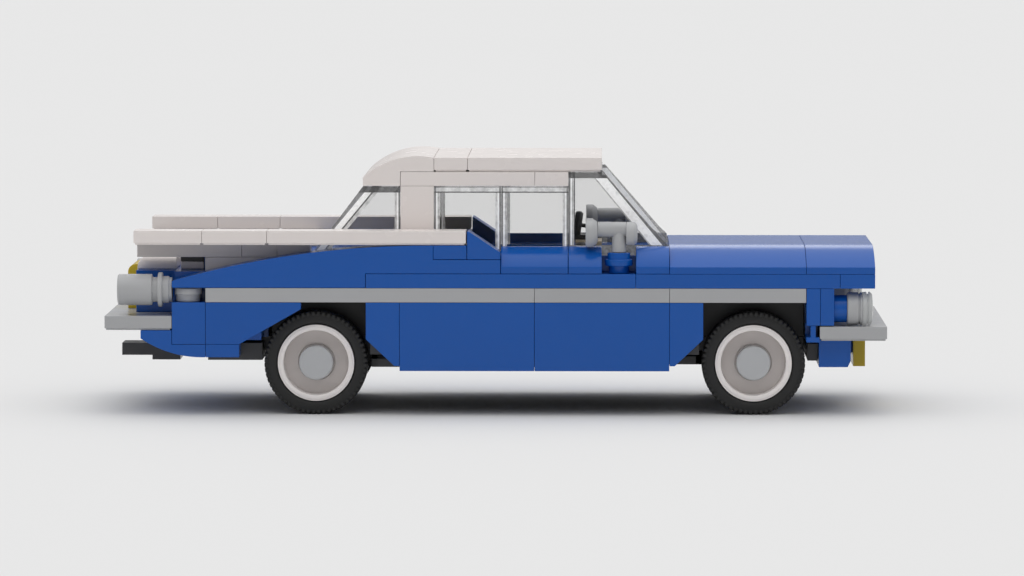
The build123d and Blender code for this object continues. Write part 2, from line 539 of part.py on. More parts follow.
def fittings():
    """Steering wheel on its stand, bench seats and the two door mirrors."""
    mid_z = GLASS_Z - SEAM
    stand_x = STUD + GLASS_T
    stand = block(stand_x, 3 * STUD, -SPINE_HALF, SPINE_HALF, DECK_Z, mid_z)
    stand += block(stand_x, 2 * STUD, WHEEL_Y - STUD, WHEEL_Y + STUD / 2, mid_z, STAND_TOP)
    keep("steering_stand", [stand])
    ring = Cylinder(WHEEL_RING_R, WHEEL_RING_T) - Cylinder(WHEEL_RING_R - WHEEL_RING_T, 2 * WHEEL_RING_T)
    spoke_l = 2 * WHEEL_RING_R - WHEEL_RING_T
    for turn in (0, 120, 240):
        ring += Rot(0, 0, turn) * Pos(spoke_l / 4, 0, 0) * Box(spoke_l / 2, SPOKE_W, SPOKE_T)
    ring += Pos(0, 0, -WHEEL_RING_T) * Box(SPOKE_W, SPOKE_W, 2 * WHEEL_RING_T)
    ring_z = STAND_TOP + WHEEL_RING_R + SEAM
    wheel = Pos(stand_x + WHEEL_BACK, WHEEL_Y, ring_z) * Rot(0, -90 + WHEEL_TILT, 0) * ring
    base = block(STUD + WHEEL_BASE[0], STUD + WHEEL_BASE[1], WHEEL_Y - WHEEL_BASE_HALF,
                 WHEEL_Y + WHEEL_BASE_HALF, STAND_TOP + SEAM, STAND_TOP + WHEEL_BASE_H, 0)
    keep("steering_wheel", [wheel + base])

    seats = []
    seat_z = CORE_Z + SEAM
    for x in (-FLOOR_HALF, -STUD):
        seat = block(x, x + STUD, -SPINE_HALF + SEAT_PLAY, SPINE_HALF - SEAT_PLAY, seat_z, seat_z + SEAT_H)
        seat -= block(x + SEAT_T, x + 2 * STUD, -SPINE_HALF, SPINE_HALF, seat_z + SEAT_CUSHION_H,
                      seat_z + 2 * SEAT_H)
        seats.append(seat)
    keep("seats", seats)

    mirror_x = 2.5 * STUD
    base = None
    z = DECK_Z
    for height, radius in MIRROR_BASE:
        step = rod_z(mirror_x, -LAMP_Y, z, z + height, radius)
        base = step if base is None else base + step
        z += height
    keep("mirror_bases", both_sides([base]))
    arm_z = DECK_Z + MIRROR_AXIS_H
    tap = rod_z(mirror_x, -LAMP_Y, z + SEAM, arm_z, MIRROR_STEM_R)
    x = mirror_x + MIRROR_FRONT
    for length, radius, drop in MIRROR_STEPS:
        tap += rod_x(x - length, x, -LAMP_Y, arm_z - drop, radius)
        x -= length
    keep("mirrors", both_sides([tap]))


def build():
    """Make every node and write one STEP file for each."""
    for make in (chassis, wheels, sides, tail, fenders_and_fins, nose, hood, cabin, fittings):
        make()
    os.makedirs("parts", exist_ok=True)
    for name, solids in NODES.items():
        placed = [Pos(-CENTRE_X, 0, 0) * solid for solid in solids]
        shape = placed[0] if len(placed) == 1 else Compound(children=placed)
        export_step(shape, f"parts/{name}.step")


build()
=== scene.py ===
"""Looks of a brick-built toy car with tail fins: finishes, eased bricks, studio and camera."""

import json
import logging
import math
import random
from dataclasses import dataclass, field
from enum import Enum

import bmesh
import bpy
from mathutils import Matrix, Vector

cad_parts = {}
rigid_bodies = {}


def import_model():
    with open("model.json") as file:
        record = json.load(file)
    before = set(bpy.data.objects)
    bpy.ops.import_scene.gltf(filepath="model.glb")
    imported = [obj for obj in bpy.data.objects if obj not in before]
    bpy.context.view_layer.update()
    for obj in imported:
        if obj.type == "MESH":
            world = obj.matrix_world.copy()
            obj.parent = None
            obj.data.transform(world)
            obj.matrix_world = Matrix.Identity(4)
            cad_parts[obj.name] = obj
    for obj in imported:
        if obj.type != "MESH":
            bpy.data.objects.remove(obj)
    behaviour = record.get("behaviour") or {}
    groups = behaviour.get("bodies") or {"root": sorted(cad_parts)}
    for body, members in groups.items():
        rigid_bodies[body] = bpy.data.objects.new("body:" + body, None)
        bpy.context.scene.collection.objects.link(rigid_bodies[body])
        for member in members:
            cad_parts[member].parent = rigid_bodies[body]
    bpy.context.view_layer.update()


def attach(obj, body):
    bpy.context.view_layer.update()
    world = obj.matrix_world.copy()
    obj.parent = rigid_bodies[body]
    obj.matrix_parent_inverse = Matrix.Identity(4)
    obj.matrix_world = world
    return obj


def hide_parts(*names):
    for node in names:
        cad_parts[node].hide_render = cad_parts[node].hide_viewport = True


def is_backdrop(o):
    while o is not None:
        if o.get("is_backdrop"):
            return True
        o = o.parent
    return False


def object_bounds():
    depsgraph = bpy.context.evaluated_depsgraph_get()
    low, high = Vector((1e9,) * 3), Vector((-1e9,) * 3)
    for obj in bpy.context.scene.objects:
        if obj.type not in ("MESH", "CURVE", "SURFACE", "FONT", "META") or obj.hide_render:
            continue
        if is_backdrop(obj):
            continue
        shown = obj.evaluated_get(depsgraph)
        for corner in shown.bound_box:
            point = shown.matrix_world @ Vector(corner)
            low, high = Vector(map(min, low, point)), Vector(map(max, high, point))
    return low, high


LOG = logging.getLogger("brick_car")
MM = 0.001
STUD = 8.0
STUD_HEIGHT, STUD_RIM = 1.7, 0.15
PLATE = 3.3
CAR_SHIFT = 9.225
FULL_TURN = 2 * math.pi
WELD = 0.002
CUT_SLACK = 0.0001
FLAT_LIMIT = math.radians(0.5)
SHARP_LIMIT = math.radians(25)
SMOOTH_LIMIT = math.radians(50)
X_AXIS, Y_AXIS, Z_AXIS = Vector((1, 0, 0)), Vector((0, 1, 0)), Vector((0, 0, 1))

Colour = tuple[float, float, float]
Size = tuple[float, float, float]
# Widths and strengths of painted highlight and painted shade bands on clear plastic.
PaintedLightBands = tuple[tuple[float, float], ...]
PaintedEdgeStreak = tuple[Vector, PaintedLightBands]
Profile = tuple[tuple[float, float], ...]


# ------------------------------------------------------------------ shader graph
class Wire:
    """A shader socket that takes part in Python arithmetic."""

    def __init__(self, graph: "Graph", socket: bpy.types.NodeSocket) -> None:
        """Wrap a socket.

        Args:
            graph: The node tree that the socket belongs to.
            socket: The output socket.
        """
        self.graph = graph
        self.socket = socket

    def _math(self, operation: str, first: "Wire | float", second: "Wire | float") -> "Wire":
        """Add a Math node for one operation on two values.

        Args:
            operation: Blender's name of the operation.
            first: Left value.
            second: Right value.

        Returns:
            The node's output.
        """
        node = self.graph.node("ShaderNodeMath", {"operation": operation}, {0: first, 1: second})
        return Wire(self.graph, node.outputs[0])

    def __add__(self, other: "Wire | float") -> "Wire":
        """Sum."""
        return self._math("ADD", self, other)

    def __radd__(self, other: float) -> "Wire":
        """Reflected sum."""
        return self._math("ADD", other, self)

    def __sub__(self, other: "Wire | float") -> "Wire":
        """Difference."""
        return self._math("SUBTRACT", self, other)

    def __rsub__(self, other: float) -> "Wire":
        """Reflected difference."""
        return self._math("SUBTRACT", other, self)

    def __mul__(self, other: "Wire | float") -> "Wire":
        """Product."""
        return self._math("MULTIPLY", self, other)

    def __rmul__(self, other: float) -> "Wire":
        """Reflected product."""
        return self._math("MULTIPLY", other, self)

    def __pow__(self, other: float) -> "Wire":
        """Power."""
        return self._math("POWER", self, other)


class Graph:
    """Node tree of one material or of the world."""

    def __init__(self, tree: bpy.types.NodeTree) -> None:
        """Take a tree and empty it.

        Args:
            tree: The node tree to fill.
        """
        self.tree = tree
        self.tree.nodes.clear()

    def node(self, kind: str, settings: dict | None = None, inputs: dict | None = None) -> bpy.types.Node:
        """Add a node, set it up and feed its sockets.

        Args:
            kind: Type name of the node.
            settings: Attributes, set before the sockets.
            inputs: Socket name or number to a value, a Wire or an output socket.

        Returns:
            The new node.
        """
        made = self.tree.nodes.new(kind)
        for name, value in (settings or {}).items():
            setattr(made, name, value)
        for name, value in (inputs or {}).items():
            if isinstance(value, Wire):
                self.tree.links.new(value.socket, made.inputs[name])
            elif isinstance(value, bpy.types.NodeSocket):
                self.tree.links.new(value, made.inputs[name])
            else:
                made.inputs[name].default_value = value
        return made

    def noise(self, coordinates: bpy.types.NodeSocket, scale: float, detail: float = 2.0) -> Wire:
        """Noise value between 0 and 1 over the piece.

        Args:
            coordinates: Where the pattern is read.
            scale: Cells in a metre.
            detail: Octaves.

        Returns:
            The noise value.
        """
        made = self.node("ShaderNodeTexNoise", {"noise_dimensions": "3D"},
                         {"Vector": coordinates, "Scale": scale, "Detail": detail})
        return Wire(self, made.outputs["Fac"])

    def ramp(self, factor: Wire, stops: tuple[tuple[float, Colour], ...]) -> bpy.types.NodeSocket:
        """Colour ramp over a value.

        Args:
            factor: The value, between 0 and 1.
            stops: (place, colour) pairs in order, from 0 to 1.

        Returns:
            The colour output.
        """
        made = self.node("ShaderNodeValToRGB", {}, {"Fac": factor})
        elements = made.color_ramp.elements
        for place, _ in stops[1:-1]:
            elements.new(place)
        for element, (place, colour) in zip(elements, stops):
            element.position, element.color = place, (*colour, 1.0)
        return made.outputs["Color"]

    def mix(self, factor: "Wire | float", low: Colour, high: Colour) -> bpy.types.NodeSocket:
        """Blend of two colours.

        Args:
            factor: 0 for the low colour, 1 for the high one.
            low: First colour.
            high: Second colour.

        Returns:
            The colour output.
        """
        made = self.node("ShaderNodeMix", {"data_type": "RGBA"},
                         {0: factor, 6: (*low, 1.0), 7: (*high, 1.0)})
        return made.outputs[2]


def shaded(colour: Colour, factor: float) -> Colour:
    """Colour made lighter or darker by a factor."""
    return tuple(min(1.0, channel * factor) for channel in colour)


# ------------------------------------------------------------------ finishes
@dataclass(frozen=True)
class Plastic:
    """Opaque moulded plastic of one colour, glossy, with faint flow marks and handling haze."""

    name: str
    slot: str
    colour: Colour
    roughness: float = 0.2
    flow: float = 0.05
    grain: float = 0.03
    gloss: float = 0.35
    streak_scale: float = 55.0
    haze_scale: float = 240.0
    mark_scale: float = 2600.0
    mark_height: float = 0.0004

    def make(self) -> bpy.types.Material:
        """Build the material.

        Returns:
            The new material.
        """
        material = bpy.data.materials.new(self.name)
        material.use_nodes = True
        graph = Graph(material.node_tree)
        place = graph.node("ShaderNodeTexCoord").outputs["Object"]
        tone = Wire(graph, graph.node("ShaderNodeAttribute", {"attribute_name": "tone"}).outputs["Fac"])
        streaks = graph.noise(place, self.streak_scale, 3.0)
        haze = graph.noise(place, self.haze_scale, 4.0)
        mark = graph.noise(place, self.mark_scale, 2.0)
        blend = 0.5 * streaks + 0.5 * tone
        colour = graph.mix(blend, shaded(self.colour, 1 - self.flow), shaded(self.colour, 1 + self.flow))
        bump = graph.node("ShaderNodeBump", {}, {"Strength": self.grain, "Distance": self.mark_height,
                                                 "Height": 0.7 * mark + 0.3 * haze})
        shader = graph.node("ShaderNodeBsdfPrincipled", {}, {
            "Base Color": colour,
            "Roughness": self.roughness + 0.09 * (haze - 0.5) + 0.03 * (streaks - 0.5),
            "IOR": 1.5,
            "Specular IOR Level": self.gloss,
            "Normal": bump.outputs["Normal"],
        })
        graph.node("ShaderNodeOutputMaterial", {}, {"Surface": shader.outputs[0]})
        return material


@dataclass(frozen=True)
class ClearPlastic:
    """Transparent moulded plastic: thin to look through, with painted highlights, painted reflections and
    painted shade in white and grey along its edges, and faintly lit from within as painted light.

    The attribute "edge" says how a face looks: 0 is a pane, and higher values are the painted edge marks.
    Each mark is its edge value, its tone and its alpha.
    """

    name: str
    slot: str
    pane: Colour
    # White, grey and near-black marks of painted highlight, painted reflection and painted shade at the clear
    # walls' edges.
    streaks: tuple[Size, ...] = ((0.3, 0.97, 0.9), (0.6, 0.22, 0.65), (1.0, 0.04, 0.85))
    face_alpha: float = 0.06
    grazing_alpha: float = 0.12
    # Emission strength that lights the clear plastic from within, painted light.
    painted_glow: float = 0.2
    speckle_scale: float = 900.0
    haze_scale: float = 160.0

    def make(self) -> bpy.types.Material:
        """Build the material.

        Returns:
            The new material.
        """
        material = bpy.data.materials.new(self.name)
        material.use_nodes = True
        graph = Graph(material.node_tree)
        place = graph.node("ShaderNodeTexCoord").outputs["Object"]
        edge = Wire(graph, graph.node("ShaderNodeAttribute", {"attribute_name": "edge"}).outputs["Fac"])
        rim = Wire(graph, graph.node("ShaderNodeLayerWeight", {}, {"Blend": 0.35}).outputs["Facing"])
        speckle = graph.noise(place, self.speckle_scale, 3.0)
        haze = graph.noise(place, self.haze_scale, 3.0)
        # Painted edge light: the edge attribute, varied by speckle noise, picks the painted tone and alpha.
        level = edge * (0.7 + 0.6 * speckle)
        colours = ((0.0, self.pane),) + tuple((at, (tone, tone, tone)) for at, tone, _ in self.streaks)
        alphas = ((0.0, (self.face_alpha,) * 3),) + tuple((at, (alpha,) * 3) for at, _, alpha in self.streaks)
        alpha = Wire(graph, graph.ramp(level, alphas)) + self.grazing_alpha * rim ** 2.0
        tone = graph.ramp(level, colours)
        # Painted highlights and shade go into Base Color, and the same painted tone is emitted as painted
        # light.
        shader = graph.node("ShaderNodeBsdfPrincipled", {}, {
            "Base Color": tone,
            "Emission Color": tone,
            "Emission Strength": self.painted_glow,
            "Roughness": 0.04 + 0.05 * haze,
            "IOR": 1.5,
            "Alpha": alpha,
        })
        graph.node("ShaderNodeOutputMaterial", {}, {"Surface": shader.outputs[0]})
        return material


@dataclass(frozen=True)
class Rubber:
    """Soft black tyre rubber, matt, with a fine dry grain."""

    name: str
    slot: str
    colour: Colour
    roughness: float = 0.55
    dust_scale: float = 320.0
    grain_scale: float = 4200.0
    grain_height: float = 0.0003

    def make(self) -> bpy.types.Material:
        """Build the material.

        Returns:
            The new material.
        """
        material = bpy.data.materials.new(self.name)
        material.use_nodes = True
        graph = Graph(material.node_tree)
        place = graph.node("ShaderNodeTexCoord").outputs["Object"]
        dust = graph.noise(place, self.dust_scale, 4.0)
        grain = graph.noise(place, self.grain_scale, 2.0)
        colour = graph.mix(dust, shaded(self.colour, 0.8), shaded(self.colour, 1.35))
        bump = graph.node("ShaderNodeBump", {}, {"Strength": 0.12, "Distance": self.grain_height,
                                                 "Height": grain})
        shader = graph.node("ShaderNodeBsdfPrincipled", {}, {
            "Base Color": colour,
            "Roughness": self.roughness + 0.15 * (dust - 0.5),
            "Normal": bump.outputs["Normal"],
        })
        graph.node("ShaderNodeOutputMaterial", {}, {"Surface": shader.outputs[0]})
        return material


class Finish(Enum):
    """The finishes of the car's bricks."""

    BLUE = Plastic("blue brick plastic", "blue", (0.003, 0.088, 0.40))
    WHITE = Plastic("white brick plastic", "white", (0.85, 0.79, 0.765), 0.26, 0.008, 0.004)
    # The fin rails' white, darkened to paint the shade that falls under the fins.
    RAIL = Plastic("fin rail white with painted shade", "white", (0.56, 0.53, 0.52), 0.3, 0.01, 0.01)
    # The rim's white made lighter on its outer ring, a painted highlight.
    WHITEWALL = Plastic("ring white with painted highlight", "white", (0.97, 0.92, 0.90), 0.26, 0.01, 0.015)
    CAP = Plastic("pale grey brick plastic", "light_grey", (0.52, 0.53, 0.545), 0.24, 0.02)
    # The rim's white made darker in its recessed dish, painted shade.
    DISH = Plastic("dish white with painted shade", "white", (0.68, 0.635, 0.615), 0.3, 0.02)
    LIGHT_GREY = Plastic("light grey brick plastic", "light_grey", (0.44, 0.445, 0.455), 0.24)
    DARK_GREY = Plastic("dark grey brick plastic", "dark_grey", (0.055, 0.055, 0.058), 0.3)
    BLACK = Plastic("black brick plastic", "black", (0.022, 0.022, 0.023), 0.3)
    TAN = Plastic("tan brick plastic", "tan", (0.60, 0.50, 0.36), 0.25)
    YELLOW = Plastic("yellow brick plastic", "yellow", (0.56, 0.40, 0.02), 0.25)
    CLEAR = ClearPlastic("clear brick plastic", "clear", (0.02, 0.021, 0.021))
    # The lens grey is also emitted faintly through the clear plastic's emission, painted light.
    LENS = ClearPlastic("clear lamp plastic", "clear", (0.42, 0.43, 0.43), face_alpha=0.75)
    TYRE = Rubber("tyre rubber", "tyre", (0.010, 0.010, 0.010))

    def material(self) -> bpy.types.Material:
        """The finish's material, made when it is first asked for."""
        return bpy.data.materials.get(self.value.name) or self.value.make()


# ------------------------------------------------------------------ places in the frame
@dataclass(frozen=True)
class Extent:
    """Box round one solid of a CAD node, in millimetres."""

    low: Vector
    high: Vector

    @property
    def middle(self) -> Vector:
        """Centre of the box."""
        return (self.low + self.high) / 2

    @property
    def size(self) -> Vector:
        """Lengths of the box's sides."""
        return self.high - self.low

    @property
    def side(self) -> int:
        """Minus one on the right-hand side of the car, one on the left."""
        return 1 if self.middle.y > 0 else -1


def islands(mesh: bmesh.types.BMesh) -> list[set[bmesh.types.BMFace]]:
    """Split a mesh's faces into connected solids.

    Args:
        mesh: The mesh to look at.

    Returns:
        One set of faces for each solid.
    """
    found = []
    unseen = set(mesh.faces)
    for start in mesh.faces:
        if start not in unseen:
            continue
        unseen.discard(start)
        island, front = {start}, [start]
        while front:
            for edge in front.pop().edges:
                for face in edge.link_faces:
                    if face in unseen:
                        unseen.discard(face)
                        island.add(face)
                        front.append(face)
        found.append(island)
    return found


def merged(node: str) -> bmesh.types.BMesh:
    """Copy a CAD node's mesh, with its corners welded and its flat faces whole.

    Args:
        node: Name of the node.

    Returns:
        The copy, in metres.
    """
    copy = bmesh.new()
    copy.from_mesh(bpy.data.objects[node].data)
    bmesh.ops.remove_doubles(copy, verts=copy.verts, dist=WELD * MM)
    bmesh.ops.dissolve_limit(copy, angle_limit=FLAT_LIMIT, verts=copy.verts, edges=copy.edges)
    return copy


def extent(island: set[bmesh.types.BMFace]) -> Extent:
    """Box round a connected solid.

    Args:
        island: The solid's faces.

    Returns:
        Its box in millimetres.
    """
    places = [vert.co for face in island for vert in face.verts]
    low = Vector([min(place[i] for place in places) for i in range(3)]) / MM
    high = Vector([max(place[i] for place in places) for i in range(3)]) / MM
    return Extent(low, high)


def solids(node: str) -> list[Extent]:
    """Boxes of a CAD node's solids, from the right-hand side of the car to the left.

    Args:
        node: Name of the node.

    Returns:
        One box for each solid.
    """
    copy = merged(node)
    boxes = [extent(island) for island in islands(copy)]
    copy.free()
    return sorted(boxes, key=lambda box: (box.middle.y, box.middle.x))


# ------------------------------------------------------------------ modelling
@dataclass
class Mould:
    """Collects bricks in one mesh and turns them into a finished piece.

    Sizes and places are in millimetres, and the mesh is in metres.
    """

    name: str
    finish: Finish
    body: str = "body"
    easing: float = 0.08
    mesh: bmesh.types.BMesh = field(default_factory=bmesh.new)

    def take(self, bricks: bmesh.types.BMesh, easing: float | None = None) -> None:
        """Round the sharp edges of a mesh as a mould does, add it to the piece and free it.

        Args:
            bricks: The mesh to take.
            easing: Radius of the edges; the mould's own if it is left out.
        """
        radius = self.easing if easing is None else easing
        if radius:
            sharp = [e for e in bricks.edges if e.is_manifold and e.calc_face_angle() > SHARP_LIMIT]
            bmesh.ops.bevel(bricks, geom=sharp, offset=radius * MM, offset_type="OFFSET", segments=2,
                            profile=0.5, affect="EDGES", material=-1, clamp_overlap=True)
        carrier = bpy.data.meshes.new("carrier")
        bricks.to_mesh(carrier)
        bricks.free()
        self.mesh.from_mesh(carrier)
        bpy.data.meshes.remove(carrier)

    def slab(self, low: Vector, high: Vector) -> None:
        """Add a box between two corners.

        Args:
            low: Lowest corner.
            high: Highest corner.
        """
        size, middle = (high - low) * MM, (low + high) / 2 * MM
        shape = Matrix.Translation(middle) @ Matrix.Diagonal((*size, 1.0))
        bricks = bmesh.new()
        bmesh.ops.create_cube(bricks, size=1.0, matrix=shape)
        self.take(bricks)

    def turned(self, profile: Profile, place: Vector, axis: Vector, steps: int = 64,
               easing: float | None = None) -> None:
        """Add a lathe-turned solid.

        Args:
            profile: (radius, station) corners, with both ends on the axis or meeting each other.
            place: Where station 0 lies on the axis.
            axis: Direction of growing stations.
            steps: Segments round the axis.
            easing: Radius of its edges.
        """
        out = axis.orthogonal().normalized()
        bricks = bmesh.new()
        points = [bricks.verts.new((place + out * radius + axis * station) * MM)
                  for radius, station in profile]
        line = [bricks.edges.new(pair) for pair in zip(points, points[1:])]
        if profile[0][0] > 0:
            line.append(bricks.edges.new((points[-1], points[0])))
        bmesh.ops.spin(bricks, geom=points + line, cent=place * MM, axis=axis, angle=FULL_TURN, steps=steps,
                       use_merge=True, use_duplicate=False)
        bmesh.ops.remove_doubles(bricks, verts=bricks.verts, dist=0.001 * MM)
        bmesh.ops.recalc_face_normals(bricks, faces=bricks.faces)
        self.take(bricks, easing)

    def ring_of_slabs(self, size: Size, centre: Size, place: Vector, axis: Vector, count: int) -> None:
        """Add equal boxes evenly round an axis.

        Args:
            size: Lengths of a box along the radius, round the axis and along it.
            centre: Radius, turn in degrees and station of the first box's middle.
            place: Where station 0 lies on the axis.
            axis: Direction of growing stations.
            count: Number of boxes.
        """
        out = axis.orthogonal().normalized()
        round_ = axis.cross(out)
        basis = Matrix((out, round_, axis)).transposed().to_4x4()
        radius, turn, station = centre
        lengths = Vector(size) * MM
        shape = (Matrix.Translation(place * MM) @ Matrix.Rotation(math.radians(turn), 4, axis) @ basis
                 @ Matrix.Translation(Vector((radius, 0, station)) * MM) @ Matrix.Diagonal((*lengths, 1.0)))
        bricks = bmesh.new()
        bmesh.ops.create_cube(bricks, size=1.0, matrix=shape)
        bmesh.ops.spin(bricks, geom=bricks.verts[:] + bricks.edges[:] + bricks.faces[:], cent=place * MM,
                       axis=axis, angle=FULL_TURN * (count - 1) / count, steps=count - 1,
                       use_duplicate=True, use_merge=False)
        self.take(bricks)

    def stud(self, place: Vector, radius: float) -> None:
        """Add a plain stud with its foot at a place."""
        top, rim = STUD_HEIGHT, STUD_RIM
        profile = ((0, -rim), (radius, -rim), (radius, top - rim), (radius - rim, top), (0, top))
        self.turned(profile, place, Z_AXIS, 32, 0)

    def tones(self) -> None:
        """Give each brick a tone of its own, in the attribute that the plastics read."""
        layer = self.mesh.faces.layers.float.new("tone")
        chance = random.Random(self.name)
        for island in islands(self.mesh):
            tone = chance.random()
            for face in island:
                face[layer] = tone

    def paint_edge_light(self, ways: tuple[PaintedEdgeStreak, ...], inner: float) -> None:
        """Cut clear bricks along their outer faces and note how strong the painted edge light of each band
        is.

        Args:
            ways: (outward direction, bands) pairs; a band is (width, strength), from outside inwards.
            inner: Strength of the painted edge light on all bands of faces that look towards the car's
                middle.
        """
        # The edge attribute carries the painted highlights, reflections and shade of clear plastic.
        layer = self.mesh.faces.layers.float.new("edge")
        for way, bands in ways:
            depth = 0.0
            for width, _ in bands:
                depth += width * MM
                for island in islands(self.mesh):
                    top = max(vert.co.dot(way) for face in island for vert in face.verts)
                    edges = {edge for face in island for edge in face.edges}
                    verts = {vert for face in island for vert in face.verts}
                    bmesh.ops.bisect_plane(self.mesh, geom=[*verts, *edges, *island], dist=CUT_SLACK * MM,
                                           plane_co=way * (top - depth), plane_no=way)
        for island in islands(self.mesh):
            for way, bands in ways:
                top = max(vert.co.dot(way) for face in island for vert in face.verts)
                for face in island:
                    if abs(face.normal.dot(way)) < 0.5:
                        middle = face.calc_center_median()
                        strength = self.painted_band_at(bands, (top - middle.dot(way)) / MM)
                        if strength and face.normal.y * middle.y < 0:
                            strength = inner
                        face[layer] = max(face[layer], strength)

    @staticmethod
    def painted_band_at(bands: tuple[tuple[float, float], ...], depth: float) -> float:
        """Strength of the painted edge light of the band at a depth below the outer face, or 0 beyond them
        all.
        """
        for width, strength in bands:
            depth -= width
            if depth < 0:
                return strength
        return 0.0

    def swell(self, bricks: bmesh.types.BMesh, play: float) -> bmesh.types.BMesh:
        """Let each brick take up part of the play round it, inside the car's own box.

        Args:
            bricks: The bricks, in metres.
            play: What each face moves outwards.

        Returns:
            The same bricks.
        """
        low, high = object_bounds()
        for island in islands(bricks):
            box = extent(island)
            factors = [1 + 2 * play / length for length in box.size]
            verts = list({vert for face in island for vert in face.verts})
            bmesh.ops.scale(bricks, vec=Vector(factors), verts=verts,
                            space=Matrix.Translation(-box.middle * MM))
            for vert in verts:
                vert.co = Vector([min(max(vert.co[i], low[i]), high[i]) for i in range(3)])
        return bricks

    def piece(self, *nodes: str) -> None:
        """Finish the piece: shade it, dress it and let it ride.

        Args:
            nodes: The CAD nodes that it stands for.
        """
        self.tones()
        for face in self.mesh.faces:
            face.smooth = True
        data = bpy.data.meshes.new(self.name)
        self.mesh.to_mesh(data)
        self.mesh.free()
        data.set_sharp_from_angle(angle=SMOOTH_LIMIT)
        made = bpy.data.objects.new(self.name, data)
        bpy.context.scene.collection.objects.link(made)
        made.data.materials.append(self.finish.material())
        weighted = made.modifiers.new("weighted normals", "WEIGHTED_NORMAL")
        weighted.keep_sharp = True
        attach(made, self.body)
        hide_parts(*nodes)
        LOG.info("%s: %d faces", self.name, len(data.polygons))


# ------------------------------------------------------------------ sub-assemblies
@dataclass
class Bodywork:
    """Plates, tiles and slopes that keep the form of their CAD nodes, with eased edges."""

    groups: dict[Finish, tuple[str, ...]] = field(default_factory=lambda: {
        Finish.BLUE: ("doors", "arch_strips", "quarter_panels", "belt_plates", "rear_valance",
                      "fender_wedges", "fender_caps", "nose_plates", "nose_clips", "front_valance",
                      "hood_shoulders", "cabin_shoulders", "hood_tiles", "rear_core", "front_deck",
                      "cabin_sills"),
        # Fin rails take the white darkened as painted shade.
        Finish.RAIL: ("fin_rails",),
        Finish.WHITE: ("fins", "pillars", "roof_plates", "roof_tiles", "roof_slopes"),
        Finish.LIGHT_GREY: ("stripe_plates", "rear_bumper", "front_bumper", "grille"),
        Finish.DARK_GREY: ("side_walls", "end_plates", "tow_bar", "chassis_spine"),
        Finish.BLACK: ("arch_cores", "trunk_latch"),
        Finish.YELLOW: ("number_plates",),
    })
    play: float = 0.02
    easing: float = 0.08
    open_easing: float = 0.14
    open_joints: tuple[str, ...] = ("cabin_shoulders", "fender_caps", "fender_wedges")

    def build(self) -> None:
        """Make one eased piece for each node."""
        for finish, nodes in self.groups.items():
            for node in nodes:
                is_open = node in self.open_joints
                mould = Mould(node + "_eased", finish, easing=self.open_easing if is_open else self.easing)
                mould.take(mould.swell(merged(node), 0.0 if is_open else self.play))
                mould.piece(node)


@dataclass
class Trunk:
    """Blue lid, white rounded end and white foot of the latch."""

    finishes: tuple[Finish, ...] = (Finish.WHITE, Finish.WHITE, Finish.BLUE)
    names: tuple[str, ...] = ("trunk_end", "latch_foot", "trunk_lid_top")

    def build(self) -> None:
        """Make one piece for each solid of the trunk, from the rear forwards."""
        ends = sorted(box.middle.x for box in solids("trunk_lid"))
        for name, finish, at in zip(self.names, self.finishes, ends):
            bricks = merged("trunk_lid")
            others = [face for island in islands(bricks) if abs(extent(island).middle.x - at) > 0.01
                      for face in island]
            bmesh.ops.delete(bricks, geom=others, context="FACES")
            mould = Mould(name, finish)
            mould.take(bricks)
            mould.piece("trunk_lid")


@dataclass
class Glasshouse:
    """Windscreen, rear screen and side windows, with bands of painted highlight, painted reflection and
    painted shade at their edges, where real clear walls show bright and dark bands.
    """

    lean: float = 0.88
    # Bands of painted edge light, as (width, strength) from the outer face inwards.
    slanted: PaintedLightBands = ((1.1, 0.8), (2.05, 0.3), (0.3, 0.5))
    rear_slanted: PaintedLightBands = ((1.2, 0.66), (1.3, 0.3), (0.35, 0.8), (0.8, 0.42))
    upright: PaintedLightBands = ((0.4, 0.72), (0.4, 0.32), (0.5, 0.48))
    foot: PaintedLightBands = ((2.4, 0.55),)
    head: PaintedLightBands = ((0.3, 0.8), (0.95, 0.45), (0.3, 1.0))
    dark_head: PaintedLightBands = ((1.5, 1.0),)
    # Strength of the painted edge light on faces that look inwards.
    inner_screen: float = 0.85
    inner_window: float = 0.0
    screen_drop: float = 1.9
    slant_start: float = 0.3
    slant_foot: float = 0.5
    roof_play: float = 0.1
    easing: float = 0.05

    def drop_screen(self, bricks: bmesh.types.BMesh) -> bmesh.types.BMesh:
        """Let the slanted pane meet the roof's front edge instead of rising before it.

        Args:
            bricks: The windscreen.

        Returns:
            The same bricks.
        """
        tiles = solids("roof_tiles")
        front, roof = max(box.high.x for box in tiles), tiles[0].low.z
        foot = solids("hood_shoulders")[0].high.z
        for vert in bricks.verts:
            station, height = vert.co.x / MM, vert.co.z / MM
            slants = station > front + self.slant_start and height > foot + self.slant_foot
            if slants or height > roof + self.roof_play:
                vert.co.z -= self.screen_drop * MM
        return bricks

    def build(self) -> None:
        """Make one piece for each clear node, marked with painted edge light."""
        front = Vector((math.sin(self.lean), 0, math.cos(self.lean)))
        rear = Vector((-front.x, 0, front.z))
        ways = {
            "windscreen": ((front, self.slanted), (-X_AXIS, self.upright), (Z_AXIS, self.dark_head),
                           (-Z_AXIS, self.foot)),
            "rear_windscreen": ((rear, self.rear_slanted), (X_AXIS, self.upright),
                                (Z_AXIS, self.dark_head)),
            "side_windows": ((X_AXIS, self.upright), (-X_AXIS, self.upright), (Z_AXIS, self.head)),
        }
        for node, streaks in ways.items():
            mould = Mould(node + "_clear", Finish.CLEAR, easing=self.easing)
            bricks = merged(node)
            mould.take(self.drop_screen(bricks) if node == "windscreen" else bricks)
            # Paint the edge light bands onto the clear pieces.
            mould.paint_edge_light(streaks, self.inner_window if node == "side_windows" else self.inner_screen)
            mould.piece(node)


